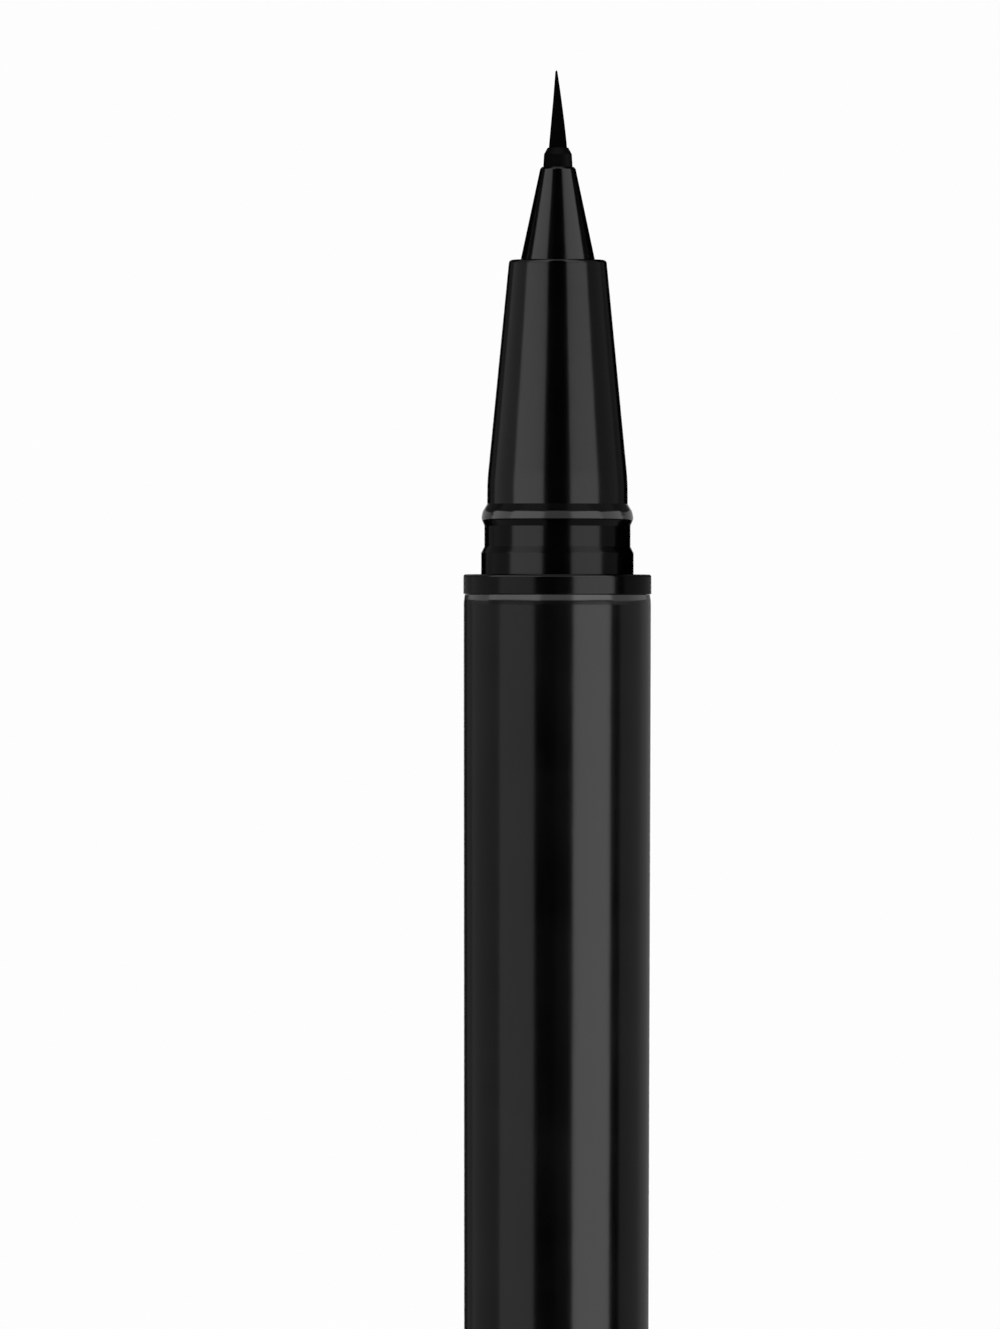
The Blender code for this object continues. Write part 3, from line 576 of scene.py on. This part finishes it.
shell_tree = turning_tree()
barrel_black = moulded_black(
    "abs_lacquered_black", "#060606", ior=1.57, peel_depth=0.0004 * MM, rub_marks=0.03
)
front_black = moulded_black(
    "abs_polished_black", "#030303", ior=1.46, peel_depth=0.0003 * MM, rub_marks=0.03
)
nozzle_black = moulded_black(
    "abs_polished_black_tip", "#030303", ior=1.46, peel_depth=0.0002 * MM, rub_marks=0.02
)

barrel_bore = barrel_high.x - BARREL_WALL
spigot_radius = barrel_bore - SLIP_FIT
spigot_bore = spigot_radius - SPIGOT_WALL

barrel = turned(
    "barrel_shell",
    "barrel",
    section([
        (barrel_bore, barrel_low.z, BORE_EDGE_ROUND),
        (tail_high.x, barrel_low.z, BARREL_FOOT_ROUND),
        (barrel_high.x, barrel_high.z - BARREL_RIM_HEIGHT - BARREL_ROLL_HEIGHT, BARREL_RIM_BLEND),
        (barrel_high.x - BARREL_ROLL_DEPTH, barrel_high.z - BARREL_RIM_HEIGHT, BARREL_RIM_BLEND),
        (barrel_high.x - BARREL_RIM_DEPTH, barrel_high.z, BARREL_RIM_ROUND),
        (barrel_bore, barrel_high.z, BORE_EDGE_ROUND),
    ]),
    shell_tree,
    barrel_black,
)

tail_top = barrel_low.z - SEAT_GAP
tail = turned(
    "tail_end",
    "tail_plug",
    section([
        (0, TAIL_RECESS_DEPTH, 0),
        (TAIL_RECESS_RADIUS, TAIL_RECESS_DEPTH, TAIL_RECESS_ROUND),
        (TAIL_RECESS_RADIUS, tail_low.z, TAIL_RECESS_ROUND),
        (tail_high.x, tail_low.z, TAIL_FOOT_ROUND),
        (tail_high.x, tail_top, TAIL_EDGE_ROUND),
        (spigot_radius, tail_top, 0),
        (spigot_radius, tail_high.z, TAIL_EDGE_ROUND),
        (spigot_bore, tail_high.z, TAIL_EDGE_ROUND),
        (spigot_bore, tail_top, TAIL_EDGE_ROUND),
        (0, tail_top, 0),
    ]),
    shell_tree,
    barrel_black,
)

nozzle_top = nozzle_high.z
mouth_top = front_high.z
nozzle_radius = nozzle_high.x - NOZZLE_FLANGE_WIDTH
nozzle_seat = nozzle_low.z + NOZZLE_FLANGE_HEIGHT
nozzle_shoulder = mouth_top + NOZZLE_SHOULDER_RISE
holder_bore = tuft_high.x + TUFT_FIT
holder_radius = holder_bore + HOLDER_WALL
nozzle_lip_bore = holder_radius + TIP_FIT
nozzle_lip_radius = nozzle_lip_bore + NOZZLE_LIP_WALL
nozzle_bore = holder_high.x + SLIP_FIT
nozzle_spread = (nozzle_radius - nozzle_lip_radius) / (nozzle_top - mouth_top)
nozzle_slope_radius = nozzle_lip_radius + NOZZLE_LIP_SLOPE * nozzle_spread

cap_seat = frame["record"]["mounts"][1]["pos_m"][2]
flange_radius = front_high.x
collar_radius = flange_radius - CAP_SEAT_WIDTH
collar_top = cap_seat + COLLAR_HEIGHT
neck_foot = collar_top + COLLAR_SLOPE_HEIGHT
neck_radius = collar_radius - NECK_STEP
neck_top = neck_foot + NECK_HEIGHT
bead_radius = neck_radius + BEAD_PROUD
bead_foot = neck_top + BEAD_FOOT_RISE
bead_land_top = bead_foot + BEAD_LAND
bead_crown_top = bead_land_top + BEAD_CROWN_RISE
grip_foot = bead_crown_top + BEAD_TOP_RISE
grip_radius = neck_radius - GRIP_STEP
mouth_bore = nozzle_radius + SLIP_FIT
mouth_radius = mouth_bore + MOUTH_RIM
mouth_seat = mouth_top - MOUTH_DEPTH
grip_bore = nozzle_high.x + SLIP_FIT
shoulder = cap_seat + SHOULDER_RISE
shoulder_bore = spigot_bore - SHOULDER_WIDTH


def bore_at(height):
    """The radius of the front section's long tapered bore at a height."""
    share = (height - shoulder) / GRIP_BORE_TAPER
    return shoulder_bore + (grip_bore - shoulder_bore) * share


ring_foot = barrel_high.z + GROOVE_GAP
cap_ring = turned(
    "cap_seat_ring",
    "front_section",
    section([
        (spigot_bore, front_low.z, BORE_EDGE_ROUND),
        (spigot_radius, front_low.z, FLANGE_FOOT_ROUND),
        (spigot_radius, ring_foot, 0),
        (flange_radius, ring_foot, FLANGE_FOOT_ROUND),
        (flange_radius, cap_seat, FLANGE_TOP_ROUND),
        (spigot_bore, cap_seat, 0),
    ]),
    shell_tree,
    front_black,
)

collar = turned(
    "cap_collar",
    "front_section",
    section([
        (spigot_bore, cap_seat, 0),
        (collar_radius, cap_seat, 0),
        (collar_radius, collar_top, COLLAR_TOP_ROUND),
        (neck_radius, neck_foot, NECK_ROUND),
        (neck_radius, neck_top, 0),
        (bore_at(neck_top), neck_top, 0),
        (shoulder_bore, shoulder, 0),
        (spigot_bore, shoulder, 0),
    ]),
    shell_tree,
    front_black,
)

bead = turned(
    "cap_bead",
    "front_section",
    section([
        (bore_at(neck_top), neck_top, 0),
        (neck_radius, neck_top, 0),
        (bead_radius, bead_foot, BEAD_ROUND),
        (bead_radius, bead_land_top, BEAD_ROUND),
        (bead_radius - BEAD_CROWN_FALL, bead_crown_top, BEAD_ROUND),
        (grip_radius, grip_foot, 0),
        (bore_at(grip_foot), grip_foot, 0),
    ]),
    shell_tree,
    front_black,
)

grip = turned(
    "tapered_grip",
    "front_section",
    section([
        (bore_at(grip_foot), grip_foot, 0),
        (grip_radius, grip_foot, 0),
        (grip_radius - GRIP_LAND_TAPER, grip_foot + GRIP_LAND, GRIP_BLEND),
        (mouth_radius, mouth_top, MOUTH_EDGE_ROUND),
        (mouth_bore, mouth_top, BORE_EDGE_ROUND),
        (mouth_bore, mouth_seat, 0),
        (grip_bore, mouth_seat, 0),
        (grip_bore, shoulder + GRIP_BORE_TAPER, 0),
    ]),
    shell_tree,
    front_black,
)

nozzle = turned(
    "nozzle_cone_shell",
    "nozzle_cone",
    section([
        (nozzle_bore, nozzle_low.z, BORE_EDGE_ROUND),
        (nozzle_high.x, nozzle_low.z, BORE_EDGE_ROUND),
        (nozzle_high.x, nozzle_seat, BORE_EDGE_ROUND),
        (nozzle_radius, nozzle_seat, 0),
        (nozzle_radius, mouth_top, NOZZLE_LIP_ROUND),
        (nozzle_slope_radius, nozzle_top - NOZZLE_LIP_SLOPE, NOZZLE_LIP_ROUND),
        (nozzle_lip_bore + NOZZLE_LIP_EDGE, nozzle_top, NOZZLE_LIP_EDGE),
        (nozzle_lip_bore, nozzle_top, 0),
        (nozzle_lip_bore, nozzle_shoulder, 0),
        (nozzle_bore, nozzle_shoulder, 0),
    ]),
    shell_tree,
    nozzle_black,
)

sleeve_top = nozzle_shoulder - SEAT_GAP
holder_top = holder_high.z
holder = turned(
    "brush_holder",
    "tuft_holder",
    section([
        (holder_bore, holder_low.z, 0),
        (holder_high.x, holder_low.z, BORE_EDGE_ROUND),
        (holder_high.x, sleeve_top, BORE_EDGE_ROUND),
        (holder_radius, sleeve_top, 0),
        (holder_radius, nozzle_top, 0),
        (holder_radius - HOLDER_TAPER, holder_top - HOLDER_CROWN_HEIGHT, HOLDER_CROWN_ROUND),
        (holder_bore + HOLDER_CROWN_EDGE, holder_top, HOLDER_EDGE_ROUND),
        (holder_bore, holder_top, 0),
    ]),
    shell_tree,
    eroded_acetal(),
)

brush = grown(
    "eyeliner_brush",
    brush_tree(),
    {
        "Filaments": FILAMENT_COUNT,
        "Steps": FILAMENT_STEPS,
        "Filament Sides": FILAMENT_SIDES,
        "Heel Sides": HEEL_SIDES,
        "Tuft Radius": tuft_high.x,
        "Heel Foot": tuft_low.z,
        "Heel Top": holder_high.z - TUFT_SETBACK,
        "Tip Height": tuft_high.z,
        "Fullness": BRUSH_FULLNESS,
        "Point Share": BRUSH_POINT_SHARE,
        "Stagger Share": BRUSH_STAGGER_SHARE,
        "Filament Taper": FILAMENT_TAPER,
        "Taper Power": FILAMENT_TAPER_POWER,
        "Lean": BRUSH_LEAN,
        "Waver": BRUSH_WAVER,
        "Waver Pitch": BRUSH_WAVER_PITCH,
        "Seed": BRUSH_SEED,
    },
    inked_filament(),
)
dressed(brush, "bristle_tuft")

# The pieces inside keep their CAD shapes
inside = {
    "feed_core": bonded_fibre(),
    "collector": natural_resin(
        "abs_natural_collector", "#CFCBC0", dim="#BDB8AB", roughness=0.45, flow=3 * MM
    ),
    "ink_tank": natural_resin(
        "polypropylene_natural_tank", "#C6C6C0", dim="#B4B4AD", roughness=0.35, flow=6 * MM
    ),
    "tank_plug": natural_resin(
        "polyethylene_grey_plug", "#7D7D7D", dim="#6B6B6B", roughness=0.50, flow=2 * MM
    ),
    "mixing_ball": bearing_steel(),
}
for name, finish in inside.items():
    frame["nodes"][name].data.materials.clear()
    frame["nodes"][name].data.materials.append(finish)


# Studio: soft cards all round, which the pen's gloss mirrors. Each group of pieces has cards of its own

CARD_DISTANCE = 2.0
CARD_LEVEL = 90 * MM

OVERHEAD_SIZE = 1.2
OVERHEAD_RADIANCE = 0.5
KEY_STRENGTH = 0.66
KEY_ANGLE = math.radians(24)
KEY_SIDE = (-0.45, -0.5, 0.75)

FLOOR_RADIUS = 1.5
FLOOR_SIDES = 96
FLOOR_ROUGHNESS = 0.9

# Gloss sees the world only towards straight up and down. It comes in as a direction's Z passes STEEP_RANGE
STEEP_RANGE = (0.87, 0.91)
STEEP_GLOSS = 0.15
MATT_LIGHT = 0.9


def lit_group(name, *pieces):
    """A collection of pieces that have cards of their own."""
    made = bpy.data.collections.new(name)
    for piece in pieces:
        made.objects.link(piece)
    return made


def soft_light(name, width, height, energy, place, out):
    """An area light at a place, facing against the direction out. Only gloss sees it."""
    light = bpy.data.lights.new(name, "AREA")
    light.shape = "RECTANGLE"
    light.size = width
    light.size_y = height
    light.energy = energy
    made = bpy.data.objects.new(name, light)
    made.location = place
    made.rotation_euler = out.to_track_quat("Z", "Y").to_euler()
    made.visible_camera = False
    made.visible_diffuse = False
    bpy.context.scene.collection.objects.link(made)
    return made


def cards(group, elevations, *strips):
    """Upright cards for one group of pieces between two elevations. Each strip is (from, to, radiance).

    Its angles are degrees round the pen, from the camera's side towards the camera's right. The elevations
    are degrees as seen from the pen's axis at CARD_LEVEL.
    """
    low, high = (CARD_DISTANCE * math.tan(math.radians(angle)) for angle in elevations)
    for start, end, radiance in strips:
        towards = math.radians(start + end) / 2
        width = 2 * CARD_DISTANCE * math.tan(math.radians(end - start) / 2)
        out = Vector((math.sin(towards), -math.cos(towards), 0))
        place = out * CARD_DISTANCE + Vector((0, 0, CARD_LEVEL + (low + high) / 2))
        energy = radiance * math.pi * width * (high - low)
        made = soft_light("card", width, high - low, energy, place, out)
        made.light_linking.receiver_collection = group


REAR = (168, 192, 1.2)

barrel_group = lit_group("lit_with_the_barrel", barrel, tail)
cards(barrel_group, (-70, 4), (19.5, 69, 1.5), (-76, -28.5, 0.52), (84, 124, 0.2), (-130, -76, 0.2), REAR)
cards(barrel_group, (-70, 4), (-2, 19.5, 0.03), (124, 165, 0.25), (-148, -130, 0.1), (-168, -148, 0.02))
cards(barrel_group, (11, 42), (-21, 19.5, 1.0), (19.5, 72, 2.6), (-95, -21, 2.0))
cards(barrel_group, (5.5, 42), (72, 165, 0.8), (-165, -95, 0.8))

ring_group = lit_group("lit_with_the_seat_ring", cap_ring)
cards(ring_group, (-70, 4), (19.5, 74, 1.5), (-76, -28.5, 0.52), (90, 165, 0.1), (-130, -76, 0.2), REAR)
cards(ring_group, (-70, 4), (-2, 19.5, 0.03), (-168, -130, 0.12))
cards(ring_group, (11, 42), (-21, 19.5, 0.75), (19.5, 74, 2.2), (-95, -21, 1.6), (90, 165, 0.1))
cards(ring_group, (11, 42), (-165, -95, 0.2))

collar_group = lit_group("lit_with_the_collar", collar)
cards(collar_group, (-70, 12), (21, 70, 1.05), (-76, -23, 1.0), (70, 103, 0.13), (-118, -76, 0.16), REAR)
cards(collar_group, (-70, 12), (-138, -118, 0.10))
cards(collar_group, (12, 34), (22, 76, 0.92), (-83, -25, 0.88), (76, 112, 0.06), (-150, -83, 0.09))
cards(collar_group, (34, 58), (28, 85, 0.80), (-91, -31, 0.76), (85, 118, 0.05), (-140, -91, 0.08))

bead_group = lit_group("lit_with_the_bead", bead)
cards(bead_group, (-6, 42), (-21, 21, 0.9))
cards(bead_group, (-6, 36), (21, 72, 2.3), (-77, -21, 2.3))
cards(bead_group, (-6, 25), (72, 118, 1.5), (-118, -77, 1.5))
cards(bead_group, (-6, 12), (118, 168, 0.5), (-168, -118, 0.5), REAR)
cards(bead_group, (42, 62), (21, 72, 0.25), (-77, -21, 0.22))
cards(bead_group, (25, 60), (72, 118, 0.15), (-118, -77, 0.15))
cards(bead_group, (12, 42), (118, 168, 0.06), (-168, -118, 0.06))
cards(bead_group, (-60, -20), (21, 118, 0.17), (-118, -21, 0.17), (-150, -118, 0.06))

grip_group = lit_group("lit_with_the_grip", grip)
cards(grip_group, (-70, 15), (21, 71, 1.5), (-77, -23, 1.5), (71, 118, 0.2), (-126, -77, 0.35), REAR)
cards(grip_group, (-70, 15), (118, 140, 0.08), (-145, -126, 0.07))
cards(grip_group, (20, 70), (21, 71, 1.4), (-77, -23, 1.4), (71, 118, 0.2), (-126, -77, 0.3))

tip_group = lit_group("lit_with_the_tip", nozzle)
cards(tip_group, (-70, 15), (21, 71, 1.5), (-77, -23, 1.5), (71, 118, 0.2), (-118, -77, 0.33), REAR)
cards(tip_group, (15, 29), (25, 92, 1.55), (-93, -35, 1.5), REAR)
cards(tip_group, (34, 70), (21, 71, 1.5), (-77, -23, 1.5))

holder_group = lit_group("lit_with_the_holder", holder)
cards(holder_group, (-40, 20), (55, 110, 0.20))
cards(holder_group, (25, 55), (-65, -25, 0.08))

overhead = Vector((0, 0, 1))
energy = OVERHEAD_RADIANCE * math.pi * OVERHEAD_SIZE * OVERHEAD_SIZE
soft_light("overhead", OVERHEAD_SIZE, OVERHEAD_SIZE, energy, overhead * CARD_DISTANCE, overhead)
sun = bpy.data.lights.new("key", "SUN")
sun.energy = KEY_STRENGTH
sun.angle = KEY_ANGLE
key = bpy.data.objects.new("key", sun)
key.rotation_euler = Vector(KEY_SIDE).to_track_quat("Z", "Y").to_euler()
key.visible_glossy = False
bpy.context.scene.collection.objects.link(key)

floor_mesh = bpy.data.meshes.new("floor")
floor_shape = bmesh.new()
bmesh.ops.create_circle(floor_shape, cap_ends=True, segments=FLOOR_SIDES, radius=FLOOR_RADIUS)
floor_shape.to_mesh(floor_mesh)
floor_shape.free()
floor = bpy.data.objects.new("floor", floor_mesh)
bpy.context.scene.collection.objects.link(floor)
floor.visible_glossy = False
floor.visible_shadow = False
floor_paint = finish_of("floor_matt_white", "#F7F7F7", FLOOR_ROUGHNESS, Specular_IOR_Level=0)[0]
floor_mesh.materials.append(floor_paint)

# The world: near white to the camera, soft on matt surfaces, faint in gloss towards straight up and down
world = bpy.data.worlds.new("studio")
bpy.context.scene.world = world
world.use_nodes = True
world.cycles.sampling_method = "NONE"
sky = world.node_tree
ray = add(sky, "ShaderNodeLightPath").outputs
towards = add(sky, "ShaderNodeTexCoord").outputs["Generated"]
steep = add(sky, "ShaderNodeSeparateXYZ", [towards]).outputs["Z"]
steep = add(sky, "ShaderNodeMath", [steep], operation="ABSOLUTE")
dim = add(sky, "ShaderNodeMapRange", [steep, *STEEP_RANGE, 0, STEEP_GLOSS])
soft = {"Factor": ray["Is Diffuse Ray"], 2: dim, 3: MATT_LIGHT}
soft = add(sky, "ShaderNodeMix", soft, data_type="FLOAT")
seen = {"Factor": ray["Is Camera Ray"], 6: soft, 7: colour("#FDFDFD")}
seen = add(sky, "ShaderNodeMix", seen, data_type="RGBA").outputs[2]
feed(sky, sky.nodes["Background"], {"Color": seen})

# Camera: level with the pen, at the photograph's scale, and turned a little, because the pen leans to the
# right in the photograph
PIXEL_SCALE = 0.0586 * MM
FRAME_PIXELS = 1329
FRAME_HEIGHT = FRAME_PIXELS * PIXEL_SCALE
SENSOR = 36 * MM
FOCAL_LENGTH = 600 * MM
NEAREST = 0.01
CAMERA_SIDE = -3.354 * MM
CAMERA_LEAN = math.radians(-0.08)
CAMERA_HEIGHT = 92.75 * MM
lens = bpy.data.cameras.new("photograph")
lens.sensor_fit = "AUTO"
lens.sensor_width = SENSOR / MM
lens.lens = FOCAL_LENGTH / MM
lens.clip_start = NEAREST
camera = bpy.data.objects.new("photograph", lens)
camera.location = (CAMERA_SIDE, -FRAME_HEIGHT * FOCAL_LENGTH / SENSOR, CAMERA_HEIGHT)
camera.rotation_euler = (math.radians(90), CAMERA_LEAN, 0)
bpy.context.scene.collection.objects.link(camera)
bpy.context.scene.camera = camera
bpy.context.scene.view_settings.view_transform = "Standard"
